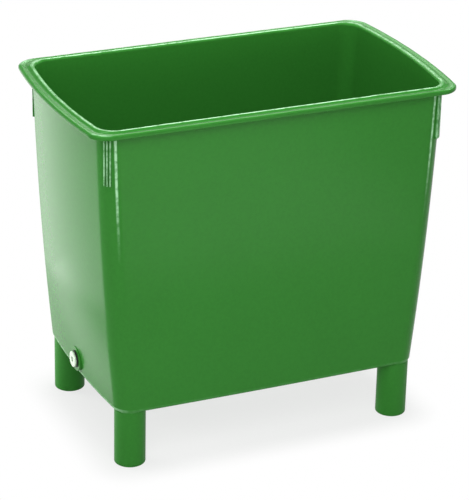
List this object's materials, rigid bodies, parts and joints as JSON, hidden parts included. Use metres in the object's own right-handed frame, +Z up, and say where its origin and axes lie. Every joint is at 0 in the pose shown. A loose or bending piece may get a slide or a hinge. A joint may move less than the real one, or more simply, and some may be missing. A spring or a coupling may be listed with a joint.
{
  "type": "deep tub on legs",
  "caption": "Deep open rectangular tub with a rolled rim, standing on round bolted-on tube legs, with a low screw-out drain plug in one end wall.",
  "frame": {"origin": "on the floor, below the middle of the tub", "axes": "+X along the tub away from the drain, -Y the front, +Z up"},
  "size_m": [0.89, 0.51, 0.807],
  "materials": {
    "tub_green": "semi-gloss moulded green, finely mottled",
    "leg_green": "semi-gloss moulded green",
    "plug_white": "smooth white moulding",
    "fitting_black": "satin black moulding",
    "rubber_black": "dull black rubber",
    "zinc_steel": "zinc plated"
  },
  "bodies": {
    "tub": {"tub_shell": "tub_green", "leg_front_left": "leg_green", "leg_front_right": "leg_green", "leg_rear_left": "leg_green", "leg_rear_right": "leg_green", "leg_plug_front_left": "fitting_black", "leg_plug_front_right": "fitting_black", "leg_plug_rear_left": "fitting_black", "leg_plug_rear_right": "fitting_black", "foot_cap_front_left": "leg_green", "foot_cap_front_right": "leg_green", "foot_cap_rear_left": "leg_green", "foot_cap_rear_right": "leg_green", "leg_nuts": "zinc_steel", "leg_bolts": "zinc_steel", "bolt_washers": "zinc_steel", "bolt_seals": "rubber_black", "drain_bush": "fitting_black", "drain_gasket": "rubber_black", "drain_locknut": "fitting_black"},
    "sealing_ring": {"plug_seal": "rubber_black"},
    "plug": {"drain_plug": "plug_white"}
  },
  "joints": [
    {"name": "plug_travel", "type": "slide", "parent": "tub", "child": "sealing_ring", "axis": [-1, 0, 0], "range_m": [0, 0.0181]},
    {"name": "plug_turn", "type": "hinge", "parent": "sealing_ring", "child": "plug", "pos_m": [-0.3814, 0, 0.172], "axis": [-1, 0, 0], "range_deg": [0, 1620]}
  ],
  "couplings": [
    {"joint": "plug_travel", "follows": "plug_turn", "m_per_rad": 0.00063662}
  ]
}
